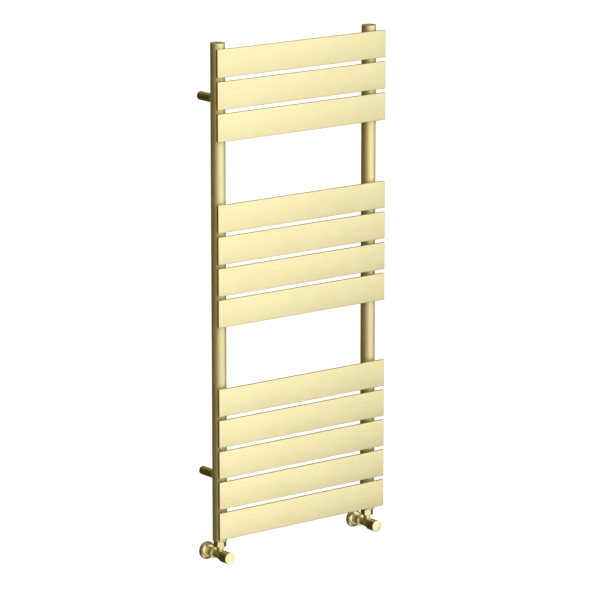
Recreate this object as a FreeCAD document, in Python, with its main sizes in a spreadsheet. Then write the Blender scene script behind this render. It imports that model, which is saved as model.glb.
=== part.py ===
import FreeCAD, Part
import math
import os
import re
import Sketcher

# Wall-hung towel warming rail, heated by hot water.  Twelve flat hollow bars stand on short
# necks in front of two upright collector tubes; four round brackets hold it to the wall; an
# angled valve under each collector takes the water in through the wall.
#
# Frame, in millimetres: the origin is in the wall plane, midway between the four wall fixings.
# +X is to the right as seen from the room, +Y goes into the wall and +Z is up, so the whole
# rail lies at negative Y.

BARS_PER_GROUP = (3, 4, 5)          # from the top down; a towel hangs in the gaps between
SIDES = {"left": -1, "right": 1}
LEVELS = {"upper": 1, "lower": -1}

DIMENSIONS = {
    # bars
    "bar_length": 500.0,
    "bar_height": 66.0,
    "bar_thickness": 7.0,
    "bar_wall": 1.5,
    "bar_edge_radius": 1.2,
    "bar_gap": 9.7,                 # between bars of one group
    "towel_gap": 149.5,             # between groups
    # collectors and the necks that carry the bars
    "collector_inset": 25.0,        # from a bar's end to the collector's axis
    "collector_overhang": 10.85,    # of the collector past the first and the last bar
    "collector_radius": 17.5,
    "collector_wall": 1.5,
    "neck_length": 9.5,
    "neck_radius": 10.0,
    "neck_wall": 2.0,
    "bush_length": 14.0,
    # clearances
    "slide_fit": 0.05,              # radial, between pieces that slide or turn in each other
    "body_gap": 0.3,                # between pieces that move apart
    # wall brackets
    "wall_to_collector": 68.0,
    "bracket_inset_top": 133.0,     # from the collector's end to the bracket's axis
    "bracket_inset_bottom": 159.0,
    "sleeve_radius": 10.5,
    "sleeve_bore": 7.0,
    "sleeve_edge": 0.6,
    "boss_reach": 28.0,             # of the welded boss inside its sleeve
    "base_length": 9.0,
    "fixing_hole_radius": 2.75,
    "fixing_head_radius": 5.0,
    "fixing_head_depth": 4.0,
    "base_dimple_depth": 1.2,
    "base_grub_offset": 4.5,        # from the wall
    "rail_grub_offset": 14.0,       # from the sleeve's front end
    "grub_radius": 2.0,
    "grub_socket": 1.0,
    # plugs in the collectors' top ends
    "plug_thread_radius": 10.45,
    "plug_thread_length": 9.0,
    "plug_head_radius": 13.0,
    "plug_head_thickness": 1.8,
    "plug_seal_thickness": 1.2,
    "plug_socket_flats": 8.0,
    "plug_socket_depth": 6.0,
    "bleed_radius": 2.5,
    "bleed_length": 7.0,
    "bleed_slot_width": 0.9,
    "bleed_slot_depth": 1.2,
    "bleed_way_radius": 1.0,
    # union between collector and valve
    "valve_drop": 37.0,             # of the valve's axis below the collector's end
    "union_gap": 1.0,               # between the collector's end and the nut
    "union_nut_flats": 27.0,
    "union_nut_height": 14.0,
    "union_nut_roof": 2.95,
    "union_nut_chamfer": 1.2,
    "union_thread_radius": 10.5,
    "tail_radius": 8.3,
    "tail_bore": 5.5,
    "tail_in_bush": 12.0,
    "tail_flange": 2.45,
    "tail_flange_radius": 10.3,
    "union_seal_thickness": 1.5,
    "spigot_radius": 8.5,
    "spigot_thread_length": 6.0,
    # valve body, measured along its axis; the collector's axis crosses it
    "body_front": 12.0,             # from the collector's axis to the body's front end
    "body_front_radius": 13.0,
    "body_waist": 15.0,             # from the collector's axis back to the waist
    "body_waist_radius": 9.0,
    "body_waist_length": 7.0,
    "inlet_thread_wall": 1.9,       # of the body round the pipe's socket
    "inlet_thread_length": 14.0,
    "pipe_radius": 7.5,             # of the water pipe that comes out of the wall
    "pipe_clearance": 0.1,
    "pipe_socket_depth": 12.0,
    "seat_offset": 8.0,             # from the collector's axis back to the valve's seat
    "seat_bore": 5.0,
    "chamber_radius": 6.8,
    "headwork_offset": 6.2,         # from the collector's axis forward to the headwork
    "headwork_thread_radius": 9.0,
    # headwork, spindle and obturator
    "headwork_flange_radius": 11.0,
    "headwork_flange": 2.5,
    "headwork_length": 12.0,        # in front of the body
    "headwork_radius": 9.0,
    "spindle_radius": 4.0,
    "spindle_collar_radius": 5.5,
    "spindle_collar": 5.2,
    "spindle_square": 5.6,
    "spindle_square_length": 8.0,
    "seal_section": 1.0,            # radius of the spindle seal's round section
    "seal_offset": 6.0,             # from the body's front end to the spindle seal
    "stem_radius": 2.5,
    "stem_length": 12.5,
    "obturator_radius": 6.0,
    "obturator_thickness": 2.0,
    "washer_radius": 5.8,
    "washer_thickness": 1.45,
    "valve_lift": 3.0,              # the obturator's travel from shut to fully open
    # handle and cap
    "handle_radius": 14.0,
    "handle_length": 27.0,
    "handle_gap": 1.0,              # between the valve's body and the handle
    "handle_wall": 1.8,
    "handle_front": 3.0,
    "handle_edge": 1.0,
    "hub_radius": 6.0,
    "hub_length": 9.0,
    "clip_wall": 1.2,
    # compression nut, olive and pipe cover
    "nut_flange_rise": 1.5,         # of the flange above the nut's barrel
    "nut_flange": 3.0,
    "nut_wall": 1.95,
    "nut_length": 34.0,
    "olive_length": 4.0,
    "olive_rise": 1.2,
    "cover_offset": 42.0,           # from the collector's axis back to the cover's front
    "cover_depth": 13.0,
    "cover_radius": 21.5,
    "cover_collar": 5.0,
    "cover_wall": 1.5,
}

# Places and sizes that follow from the driving ones.
BAR_COUNT = sum(BARS_PER_GROUP)
BARS_SPAN = (f"({BAR_COUNT} * bar_height + {BAR_COUNT - len(BARS_PER_GROUP)} * bar_gap"
             f" + {len(BARS_PER_GROUP) - 1} * towel_gap)")
COLLECTOR_HEIGHT = f"({BARS_SPAN} + 2 * collector_overhang)"
COLLECTOR_X = "(bar_length / 2 - collector_inset)"
COLLECTOR_Y = "(-wall_to_collector)"
BRACKET_Z = f"(({COLLECTOR_HEIGHT} - bracket_inset_top - bracket_inset_bottom) / 2)"
COLLECTOR_TOP = f"({BRACKET_Z} + bracket_inset_top)"
COLLECTOR_BOTTOM = f"(-{BRACKET_Z} - bracket_inset_bottom)"
BAR_BACK_Y = "(-wall_to_collector - collector_radius - neck_length)"
SLEEVE_LENGTH = "(wall_to_collector - collector_radius - body_gap)"
VALVE_Z = f"({COLLECTOR_BOTTOM} - valve_drop)"
INLET_END = "(body_waist + body_waist_length + inlet_thread_length)"
INLET_THREAD_RADIUS = "(pipe_radius + pipe_clearance + inlet_thread_wall)"
NUT_RADIUS = f"({INLET_THREAD_RADIUS} + slide_fit + nut_wall)"
NUT_FLANGE_RADIUS = f"({NUT_RADIUS} + nut_flange_rise)"

UPRIGHT = FreeCAD.Rotation()
FORWARD = FreeCAD.Rotation(FreeCAD.Vector(1, 0, 0), 90)      # local +Z looks into the room
BACKWARD = FreeCAD.Rotation(FreeCAD.Vector(1, 0, 0), -90)    # local +Z looks at the wall
FLAT_TO_RIGHT = FreeCAD.Rotation(FreeCAD.Vector(0, 0, 1), 30)    # a hexagon's flat, not its corner, to +X

doc = FreeCAD.newDocument("towel_warmer")
sheet = doc.addObject("Spreadsheet::Sheet", "Dimensions")
for row, (alias, size) in enumerate(DIMENSIONS.items(), 1):
    sheet.set(f"A{row}", alias.replace("_", " "))
    sheet.set(f"B{row}", str(size))
    sheet.setAlias(f"B{row}", alias)
doc.recompute()

nodes = []


# ---------------------------------------------------------------- helpers

def bound(text):
    """The same expression, reading the sheet from another object."""
    def read(word):
        return f"Dimensions.{word[0]}" if word[0] in DIMENSIONS else word[0]
    return re.sub(r"[a-z][a-z_]*", read, text)


def number(text):
    """An expression's value with the sheet as it stands."""
    return float(sheet.evalExpression(text))


def bind(thing, **sizes):
    """Bind an object's properties to expressions."""
    for name, text in sizes.items():
        thing.setExpression(name, bound(text))
    return thing


def place(thing, turn=UPRIGHT, x="0", y="0", z="0"):
    """Turn an object and bind its place."""
    thing.Placement = FreeCAD.Placement(FreeCAD.Vector(), turn)
    for axis, text in (("x", x), ("y", y), ("z", z)):
        thing.setExpression(f"Placement.Base.{axis}", bound(text))
    return thing


def node(thing, label):
    """Name an object as one of the rail's pieces."""
    thing.Label = label
    nodes.append(thing)
    return thing


def cylinder(radius, height, **where):
    return place(bind(doc.addObject("Part::Cylinder", "Cylinder"), Radius=radius, Height=height), **where)


def box(length, width, height, **where):
    block = bind(doc.addObject("Part::Box", "Box"), Length=length, Width=width, Height=height)
    return place(block, **where)


def hexagon(flats, height, **where):
    prism = doc.addObject("Part::Prism", "Prism")
    prism.Polygon = 6
    return place(bind(prism, Circumradius=f"({flats}) / sqrt(3)", Height=height), **where)


def cut(base, *tools):
    """Take the tools away from the base."""
    result = doc.addObject("Part::Cut", "Cut")
    result.Base = base
    result.Tool = tools[0] if len(tools) == 1 else compound(tools)
    return result


def fuse(*pieces):
    result = doc.addObject("Part::MultiFuse", "Fuse")
    result.Shapes = list(pieces)
    return result


def common(one, other):
    result = doc.addObject("Part::Common", "Common")
    result.Base = one
    result.Tool = other
    return result


def compound(pieces):
    """Several separate solids as one object."""
    result = doc.addObject("Part::Compound", "Group")
    result.Links = list(pieces)
    return result


def plane(body, role):
    return next(item for item in body.Origin.OriginFeatures if item.Role == role)


def arc_middle(start, end, radius, side):
    """The middle of an arc between two points, on the left (1) or right (-1) of the way."""
    chord = end - start
    sagitta = radius - math.sqrt(radius**2 - (chord.Length / 2) ** 2)
    return (start + end) / 2 + FreeCAD.Vector(-chord.y, chord.x, 0).normalize() * side * sagitta


def outline_sketch(body, outline):
    """A closed outline in the body's XZ plane.

    Each corner is (x, z), or (x, z, radius, side) where an arc leads to it from the corner
    before: side 1 bulges to the left of the way, -1 to the right.  Corners are never negative.
    """
    sketch = body.newObject("Sketcher::SketchObject", "Outline")
    sketch.AttachmentSupport = (plane(body, "XZ_Plane"), [""])
    sketch.MapMode = "FlatFace"
    corners = [FreeCAD.Vector(number(c[0]), number(c[1]), 0) for c in outline]
    ends = []
    for index, corner in enumerate(outline):
        start, end = corners[index - 1], corners[index]
        if len(corner) == 4:
            middle = arc_middle(start, end, number(corner[2]), corner[3])
            edge = sketch.addGeometry(Part.Arc(start, middle, end), False)
            first, last = (1, 2) if sketch.getPoint(edge, 1).distanceToPoint(start) < 1e-6 else (2, 1)
            radius = sketch.addConstraint(Sketcher.Constraint("Radius", edge, number(corner[2])))
            sketch.setExpression(f"Constraints[{radius}]", bound(corner[2]))
        else:
            edge = sketch.addGeometry(Part.LineSegment(start, end), False)
            first, last = 1, 2
        ends.append((edge, first, last))
    for index, corner in enumerate(outline):
        edge, first, last = ends[index]
        after, after_first, after_last = ends[(index + 1) % len(ends)]
        sketch.addConstraint(Sketcher.Constraint("Coincident", edge, last, after, after_first))
        for kind, text, size, axis in (("DistanceX", corner[0], corners[index].x, -2),
                                       ("DistanceY", corner[1], corners[index].y, -1)):
            if text == "0":
                sketch.addConstraint(Sketcher.Constraint("PointOnObject", edge, last, axis))
                continue
            distance = sketch.addConstraint(Sketcher.Constraint(kind, -1, 1, edge, last, size))
            sketch.setExpression(f"Constraints[{distance}]", bound(text))
    return sketch


def turned(outline, **where):
    """A piece turned on a lathe: the outline's x is its radius, z runs along its axis."""
    body = doc.addObject("PartDesign::Body", "Turned")
    sketch = outline_sketch(body, outline)
    revolution = body.newObject("PartDesign::Revolution", "Revolution")
    revolution.Profile = sketch
    revolution.ReferenceAxis = (sketch, ["V_Axis"])
    revolution.Angle = 360
    body.Tip = revolution
    return place(body, **where)


def slab(length, height, thickness, edge_radius, **where):
    """A flat bar with every edge rounded, its back face in the XZ plane."""
    body = doc.addObject("PartDesign::Body", "Slab")
    sketch = outline_sketch(body, [("0", "0"), (length, "0"), (length, height), ("0", height)])
    pad = body.newObject("PartDesign::Pad", "Pad")
    pad.Profile = sketch
    bind(pad, Length=thickness)
    doc.recompute()
    fillet = body.newObject("PartDesign::Fillet", "Rounded")
    fillet.Base = (pad, [f"Edge{n + 1}" for n in range(len(pad.Shape.Edges))])
    bind(fillet, Radius=edge_radius)
    body.Tip = fillet
    return place(body, **where)


def ring(inner, outer, height, **where):
    """A plain tube or washer."""
    return turned([(inner, "0"), (outer, "0"), (outer, height), (inner, height)], **where)


# ---------------------------------------------------------------- bars, necks and collectors

def bar_bottoms():
    """The height of each bar's lower edge above the collector's bottom end, from the top bar down."""
    bottoms = []
    below_top, index = "collector_overhang", 0
    for group, count in enumerate(BARS_PER_GROUP):
        for _ in range(count):
            bottoms.append(f"({COLLECTOR_HEIGHT} - ({below_top}) - {index + 1} * bar_height)")
            below_top += " + bar_gap"
            index += 1
        below_top = below_top[:-len(" + bar_gap")] + " + towel_gap"
    return bottoms


BAR_BOTTOMS = bar_bottoms()


def bar(label, bottom):
    """A flat hollow bar, closed at both ends, with a water way at each neck."""
    outside = slab("bar_length", "bar_height", "bar_thickness", "bar_edge_radius")
    hollow = box("bar_length - 2 * bar_wall", "bar_thickness - 2 * bar_wall", "bar_height - 2 * bar_wall",
                 x="bar_wall", y="-bar_thickness + bar_wall", z="bar_wall")
    ways = [cylinder("neck_radius - neck_wall", "bar_thickness / 2", turn=FORWARD,
                     x=f"bar_length / 2 + {side} * {COLLECTOR_X}", z="bar_height / 2")
            for side in SIDES.values()]
    whole = cut(outside, fuse(hollow, *ways))
    place(whole, x="-bar_length / 2", y=BAR_BACK_Y, z=f"{COLLECTOR_BOTTOM} + {bottom}")
    return node(whole, label)


def collector(side_name, side):
    """An upright collector tube with its twelve necks and the bushes in its ends."""
    at_axis = {"x": f"{side} * {COLLECTOR_X}", "y": COLLECTOR_Y}
    reach = "collector_radius + neck_length"
    tube = ring("collector_radius - collector_wall", "collector_radius", COLLECTOR_HEIGHT)
    levels = [f"{bottom} + bar_height / 2" for bottom in BAR_BOTTOMS]
    ways = compound([cylinder("neck_radius - neck_wall", reach, turn=FORWARD, z=level) for level in levels])
    bare = compound([cylinder("neck_radius", reach, turn=FORWARD, z=level) for level in levels])
    filled = cylinder("collector_radius", COLLECTOR_HEIGHT)
    node(place(cut(tube, ways), z=COLLECTOR_BOTTOM, **at_axis), f"{side_name}_collector")
    node(place(cut(cut(bare, filled), ways), z=COLLECTOR_BOTTOM, **at_axis), f"{side_name}_bar_necks")


def bushes():
    """Threaded bushes welded in the collectors' ends: the top pair takes the plugs."""
    inside = "collector_radius - collector_wall"
    shoulder = "bush_length - plug_head_thickness - plug_seal_thickness"
    top, bottom = [], []
    for side in SIDES.values():
        at_axis = {"x": f"{side} * {COLLECTOR_X}", "y": COLLECTOR_Y}
        top.append(turned([
            ("plug_thread_radius + slide_fit", "0"), (inside, "0"), (inside, "bush_length"),
            ("plug_head_radius + slide_fit", "bush_length"), ("plug_head_radius + slide_fit", shoulder),
            ("plug_thread_radius + slide_fit", shoulder),
        ], z=f"{COLLECTOR_TOP} - bush_length", **at_axis))
        bottom.append(ring("tail_radius + slide_fit", inside, "bush_length", z=COLLECTOR_BOTTOM, **at_axis))
    node(compound(top), "collector_top_bushes")
    node(compound(bottom), "collector_bottom_bushes")


def plug():
    """A headed screw plug, its lower end at the origin."""
    full = "plug_thread_length + plug_head_thickness"
    return turned([("0", "0"), ("plug_thread_radius", "0"), ("plug_thread_radius", "plug_thread_length"),
                   ("plug_head_radius", "plug_thread_length"), ("plug_head_radius", full), ("0", full)])


def plugs():
    """The blanking plug on the left, the vent plug with its bleed screw on the right, and their seals."""
    full = "plug_thread_length + plug_head_thickness"
    plug_z = f"{COLLECTOR_TOP} - ({full})"
    left = {"x": f"-{COLLECTOR_X}", "y": COLLECTOR_Y}
    right = {"x": COLLECTOR_X, "y": COLLECTOR_Y}
    socket = hexagon("plug_socket_flats", "plug_socket_depth", z=f"{full} - plug_socket_depth")
    node(place(cut(plug(), socket), z=plug_z, **left), "blanking_plug")
    screw_hole = cylinder("bleed_radius + slide_fit", "bleed_length + body_gap",
                          z=f"{full} - bleed_length - body_gap")
    way = cylinder("bleed_way_radius", "plug_thread_length")
    node(place(cut(plug(), screw_hole, way), z=plug_z, **right), "vent_plug")
    screw = cut(cylinder("bleed_radius", "bleed_length"),
                box("2 * bleed_radius", "bleed_slot_width", "bleed_slot_depth", x="-bleed_radius",
                    y="-bleed_slot_width / 2", z="bleed_length - bleed_slot_depth"))
    node(place(screw, z=f"{COLLECTOR_TOP} - bleed_length", **right), "bleed_screw")
    seals = [ring("plug_thread_radius + slide_fit", "plug_head_radius - slide_fit", "plug_seal_thickness",
                  z=f"{COLLECTOR_TOP} - plug_head_thickness - plug_seal_thickness", **where)
             for where in (left, right)]
    node(compound(seals), "top_plug_seals")


# ---------------------------------------------------------------- wall brackets

def grub_screw(length, **where):
    """A headless screw with a socket in its outer end, pointing up at the piece it locks."""
    return turned([("grub_socket", "0"), ("grub_radius", "0"), ("grub_radius", length),
                   ("0", length), ("0", "grub_radius"), ("grub_socket", "grub_radius")], **where)


def brackets():
    """Four brackets: a base screwed to the wall, a sleeve over it and the rail's boss inside the sleeve."""
    bases, bosses, base_grubs, rail_grubs = [], [], [], []
    wall_screw_y = "-base_grub_offset"
    rail_screw_y = f"-{SLEEVE_LENGTH} + rail_grub_offset"
    grub_way = "sleeve_radius - sleeve_bore"
    for level_name, level in LEVELS.items():
        for side_name, side in SIDES.items():
            at_axis = {"x": f"{side} * {COLLECTOR_X}", "z": f"{level} * {BRACKET_Z}"}
            tube = turned([("sleeve_bore", "0"), ("sleeve_radius", "0"),
                           ("sleeve_radius", f"{SLEEVE_LENGTH} - sleeve_edge"),
                           ("sleeve_radius - sleeve_edge", SLEEVE_LENGTH, "sleeve_edge", -1),
                           ("sleeve_bore", SLEEVE_LENGTH)], turn=FORWARD)
            holes = [cylinder("grub_radius + slide_fit", "sleeve_radius", y=y, z="-sleeve_radius")
                     for y in (wall_screw_y, rail_screw_y)]
            node(place(cut(tube, *holes), **at_axis), f"{level_name}_{side_name}_bracket_sleeve")
            base = turned([("fixing_hole_radius", "0"), ("sleeve_bore - slide_fit", "0"),
                           ("sleeve_bore - slide_fit", "base_length"), ("fixing_head_radius", "base_length"),
                           ("fixing_head_radius", "base_length - fixing_head_depth"),
                           ("fixing_hole_radius", "base_length - fixing_head_depth")], turn=FORWARD)
            dimple = cylinder("grub_radius + slide_fit", "base_dimple_depth", y=wall_screw_y,
                              z="-sleeve_bore")
            bases.append(place(cut(base, dimple), **at_axis))
            pin = cylinder("sleeve_bore - slide_fit", "boss_reach + body_gap + collector_radius",
                           turn=FORWARD, y=f"-{SLEEVE_LENGTH} + boss_reach")
            tube_outside = cylinder("collector_radius", "4 * sleeve_radius", y=COLLECTOR_Y,
                                    z="-2 * sleeve_radius")
            bosses.append(place(cut(pin, tube_outside), **at_axis))
            grub_z = f"{level} * {BRACKET_Z} - sleeve_radius"
            base_grubs.append(grub_screw(f"{grub_way} + base_dimple_depth - slide_fit",
                                         x=at_axis["x"], y=wall_screw_y, z=grub_z))
            rail_grubs.append(grub_screw(f"{grub_way}", x=at_axis["x"], y=rail_screw_y, z=grub_z))
    node(compound(bases), "bracket_wall_bases")
    node(compound(bosses), "bracket_bosses")
    node(compound(base_grubs), "base_grub_screws")
    node(compound(rail_grubs), "rail_grub_screws")


# ---------------------------------------------------------------- valves

def valve_body(name, at_axis):
    """The angled body: inlet from the wall, bell towards the room, spigot up to the collector."""
    flare = "(body_front_radius - body_waist_radius)"
    bell_length = "(body_waist + body_front)"
    bell_radius = f"({flare}^2 + {bell_length}^2) / (2 * {flare})"
    waist_end = "inlet_thread_length + body_waist_length"
    front_end = f"{waist_end} + {bell_length}"
    bell = turned([("0", "0"), (INLET_THREAD_RADIUS, "0"), (INLET_THREAD_RADIUS, "inlet_thread_length"),
                   ("body_waist_radius", "inlet_thread_length"), ("body_waist_radius", waist_end),
                   ("body_front_radius", front_end, bell_radius, 1), ("0", front_end)],
                  turn=FORWARD, y=INLET_END)
    spigot_end = "valve_drop - union_gap - union_nut_roof - tail_flange - union_seal_thickness"
    spigot = turned([("0", "0"), ("spigot_radius", "0"),
                     ("spigot_radius", f"{spigot_end} - spigot_thread_length"),
                     ("union_thread_radius - slide_fit", f"{spigot_end} - spigot_thread_length"),
                     ("union_thread_radius - slide_fit", spigot_end), ("0", spigot_end)])
    seat = f"{INLET_END} - seat_offset"
    headwork = f"{INLET_END} + headwork_offset"
    socket = "pipe_radius + pipe_clearance"
    way = turned([("0", "0"), (socket, "0"), (socket, "pipe_socket_depth"),
                  ("seat_bore", "pipe_socket_depth"), ("seat_bore", seat), ("chamber_radius", seat),
                  ("chamber_radius", headwork), ("headwork_thread_radius", headwork),
                  ("headwork_thread_radius", front_end), ("0", front_end)], turn=FORWARD, y=INLET_END)
    rise = cylinder("tail_bore", spigot_end)
    node(place(cut(fuse(bell, spigot), fuse(way, rise)), **at_axis), f"{name}_valve_body")


def union(name, at_axis):
    """The tail in the collector's bush, the nut that pulls it to the valve and the flat seal between."""
    nut_z = "valve_drop - union_gap - union_nut_height"
    bevel = turned([("0", "0"), ("union_nut_flats / 2", "0"),
                    ("union_nut_flats / sqrt(3)", "union_nut_chamfer"),
                    ("union_nut_flats / sqrt(3)", "union_nut_height - union_nut_chamfer"),
                    ("union_nut_flats / 2", "union_nut_height"), ("0", "union_nut_height")])
    blank = common(hexagon("union_nut_flats", "union_nut_height", turn=FLAT_TO_RIGHT), bevel)
    roof = "union_nut_height - union_nut_roof"
    hole = turned([("0", "0"), ("union_thread_radius + slide_fit", "0"),
                   ("union_thread_radius + slide_fit", roof), ("tail_radius + body_gap", roof),
                   ("tail_radius + body_gap", "union_nut_height"), ("0", "union_nut_height")])
    x, y, z = at_axis["x"], at_axis["y"], at_axis["z"]
    node(place(cut(blank, hole), x=x, y=y, z=f"{z} + {nut_z}"), f"{name}_union_nut")
    flange_z = "valve_drop - union_gap - union_nut_roof - tail_flange"
    tail_top = "tail_flange + union_nut_roof + union_gap + tail_in_bush"
    node(turned([("tail_bore", "0"), ("tail_flange_radius", "0"), ("tail_flange_radius", "tail_flange"),
                 ("tail_radius", "tail_flange"), ("tail_radius", tail_top), ("tail_bore", tail_top)],
                x=x, y=y, z=f"{z} + {flange_z}"), f"{name}_union_tail")
    node(ring("tail_bore", "tail_flange_radius", "union_seal_thickness",
              x=x, y=y, z=f"{z} + {flange_z} - union_seal_thickness"), f"{name}_union_seal")


def headwork(name, at_axis):
    """The threaded insert that carries the spindle, the spindle's seal, the spindle and the obturator."""
    x, z = at_axis["x"], at_axis["z"]

    def ahead(distance):
        """The Y of a point this far in front of the collector's axis."""
        return f"{COLLECTOR_Y} - ({distance})"

    bore = "spindle_radius + slide_fit"
    thread_end = "body_front - headwork_offset"
    flange_end = f"{thread_end} + headwork_flange"
    full = f"{thread_end} + headwork_length"
    seal_z = f"{thread_end} + seal_offset"
    groove = "spindle_radius + 2 * seal_section + 2 * slide_fit"
    node(turned([(bore, "0"), ("headwork_thread_radius - slide_fit", "0"),
                 ("headwork_thread_radius - slide_fit", thread_end), ("headwork_flange_radius", thread_end),
                 ("headwork_flange_radius", flange_end), ("headwork_radius", flange_end),
                 ("headwork_radius", full), (bore, full),
                 (bore, f"{seal_z} + seal_section + slide_fit"),
                 (groove, f"{seal_z} + seal_section + slide_fit"),
                 (groove, f"{seal_z} - seal_section - slide_fit"),
                 (bore, f"{seal_z} - seal_section - slide_fit")],
                turn=FORWARD, x=x, y=ahead("headwork_offset"), z=z), f"{name}_headwork")
    seal = bind(doc.addObject("Part::Torus", "Torus"),
                Radius1="spindle_radius + seal_section + slide_fit", Radius2="seal_section")
    node(place(seal, turn=FORWARD, x=x, y=ahead("body_front + seal_offset"), z=z), f"{name}_spindle_seal")

    collar_start = "headwork_offset - body_gap - spindle_collar"
    hollow = "stem_radius + slide_fit"
    stem_end = "slide_fit - seat_offset + washer_thickness + obturator_thickness + stem_length"
    hollow_end = f"{stem_end} + valve_lift + body_gap - ({collar_start})"
    square_start = f"body_front + headwork_length + body_gap - ({collar_start})"
    shaft = turned([(hollow, "0"), ("spindle_collar_radius", "0"),
                    ("spindle_collar_radius", "spindle_collar"), ("spindle_radius", "spindle_collar"),
                    ("spindle_radius", square_start), ("0", square_start), ("0", hollow_end),
                    (hollow, hollow_end)])
    square = box("spindle_square", "spindle_square", "spindle_square_length", x="-spindle_square / 2",
                 y="-spindle_square / 2", z=square_start)
    node(place(fuse(shaft, square), turn=FORWARD, x=x, y=ahead(collar_start), z=z), f"{name}_spindle")

    washer_y = ahead("-seat_offset + slide_fit")
    node(turned([("stem_radius", "0"), ("washer_radius", "0"), ("washer_radius", "washer_thickness"),
                 ("stem_radius", "washer_thickness")], turn=FORWARD, x=x, y=washer_y, z=z),
         f"{name}_obturator_washer")
    plate = "washer_thickness + obturator_thickness"
    node(turned([("0", "0"), ("stem_radius", "0"), ("stem_radius", "washer_thickness"),
                 ("obturator_radius", "washer_thickness"), ("obturator_radius", plate),
                 ("stem_radius", plate), ("stem_radius", f"{plate} + stem_length"),
                 ("0", f"{plate} + stem_length")], turn=FORWARD, x=x, y=washer_y, z=z), f"{name}_obturator")


def cup_outline(inner):
    """A round cup, open at the back, with its front edge rounded."""
    front = "handle_length - handle_front"
    return [(inner, "0"), ("handle_radius", "0"), ("handle_radius", "handle_length - handle_edge"),
            ("handle_radius - handle_edge", "handle_length", "handle_edge", -1),
            ("0", "handle_length"), ("0", front), (inner, front)]


def handle(name, at_axis):
    """The turning handle: a cup whose hub sits on the spindle's square, with its locking screw below."""
    x, z = at_axis["x"], at_axis["z"]
    y = f"{COLLECTOR_Y} - body_front - handle_gap"
    front = "handle_length - handle_front"
    hub_start = f"{front} - hub_length"
    screw_level = f"{hub_start} + grub_radius + slide_fit + body_gap"
    cup = fuse(turned(cup_outline("handle_radius - handle_wall")),
               cylinder("hub_radius", "hub_length", z=hub_start))
    side = "(spindle_square + 2 * slide_fit)"
    square = box(side, side, "hub_length", x=f"-{side} / 2", y=f"-{side} / 2", z=hub_start)
    screw_way = cylinder("grub_radius + slide_fit", "handle_radius", turn=FORWARD, z=screw_level)
    whole = cut(cup, square, screw_way)
    node(place(whole, turn=FORWARD, x=x, y=y, z=z), f"{name}_handle")
    screw_length = f"hub_radius - {side} / 2"
    node(grub_screw(screw_length, x=x, y=f"{y} - ({screw_level})", z=f"{z} - hub_radius"),
         f"{name}_handle_screw")


def lockshield_cap(name, at_axis):
    """The plain cap of the balancing valve: a tube inside it clips over the headwork."""
    front = "handle_length - handle_front"
    clip_start = "headwork_flange + body_gap - handle_gap"
    inner = "headwork_radius + slide_fit"
    clip = ring(inner, f"{inner} + clip_wall", f"{front} - ({clip_start})", z=clip_start)
    whole = fuse(turned(cup_outline("handle_radius - handle_wall")), clip)
    node(place(whole, turn=FORWARD, x=at_axis["x"], y=f"{COLLECTOR_Y} - body_front - handle_gap",
               z=at_axis["z"]), f"{name}_lockshield_cap")


def inlet(name, at_axis):
    """The compression nut and olive that grip the water pipe, and the domed cover that slides on the nut."""
    x, z = at_axis["x"], at_axis["z"]
    pipe = "pipe_radius + pipe_clearance"
    thread = f"{INLET_THREAD_RADIUS} + slide_fit"
    olive_end = f"({pipe} + olive_rise / 4)"
    thread_end = f"inlet_thread_length + olive_length - ({thread}) + {olive_end}"
    cone_end = f"{thread_end} + {thread} - ({pipe})"
    node(turned([(thread, "0"), (NUT_FLANGE_RADIUS, "0"), (NUT_FLANGE_RADIUS, "nut_flange"),
                 (NUT_RADIUS, "nut_flange"), (NUT_RADIUS, "nut_length"), (pipe, "nut_length"),
                 (pipe, cone_end), (thread, thread_end)],
                turn=BACKWARD, x=x, y=f"{COLLECTOR_Y} + body_waist + body_waist_length", z=z),
         f"{name}_compression_nut")
    node(turned([(pipe, "0"), (olive_end, "0"), (f"{pipe} + olive_rise", "olive_length / 2"),
                 (olive_end, "olive_length"), (pipe, "olive_length")],
                turn=BACKWARD, x=x, y=f"{COLLECTOR_Y} + {INLET_END}", z=z), f"{name}_olive")
    bore = f"{NUT_RADIUS} + slide_fit"
    lip = f"{bore} + cover_wall"
    spread = f"(cover_radius - ({lip}))"
    dome_radius = f"({spread}^2 + cover_depth^2) / (2 * cover_depth) + cover_wall"
    inner_spread = f"(cover_radius - cover_wall - ({lip}))"
    inner_depth = "(cover_depth - cover_wall)"
    inner_radius = f"({inner_spread}^2 + {inner_depth}^2) / (2 * {inner_depth}) + cover_wall"
    node(turned([(bore, "0"), (lip, "0"), ("cover_radius", "cover_depth", dome_radius, -1),
                 ("cover_radius - cover_wall", "cover_depth"),
                 (lip, "cover_wall", inner_radius, 1),
                 (lip, "cover_collar"), (bore, "cover_collar")],
                turn=BACKWARD, x=x, y=f"{COLLECTOR_Y} + cover_offset", z=z), f"{name}_pipe_cover")


# ---------------------------------------------------------------- the whole rail

for number_of_bar, bar_bottom in enumerate(BAR_BOTTOMS, 1):
    bar(f"bar_{number_of_bar:02d}", bar_bottom)
for side_label, side_sign in SIDES.items():
    collector(side_label, side_sign)
bushes()
plugs()
brackets()
for side_label, side_sign in SIDES.items():
    valve_axis = {"x": f"{side_sign} * {COLLECTOR_X}", "y": COLLECTOR_Y, "z": VALVE_Z}
    valve_body(side_label, valve_axis)
    union(side_label, valve_axis)
    headwork(side_label, valve_axis)
    inlet(side_label, valve_axis)
    if side_label == "left":
        handle(side_label, valve_axis)
    else:
        lockshield_cap(side_label, valve_axis)

doc.recompute()
for thing in doc.Objects:
    if {"Invalid", "Error"} & set(thing.State):
        raise RuntimeError(f"{thing.Name} failed: {thing.State}")
for thing in nodes:
    if thing.Shape.isNull() or not thing.Shape.isValid():
        raise RuntimeError(f"{thing.Label} has no valid shape")

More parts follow.
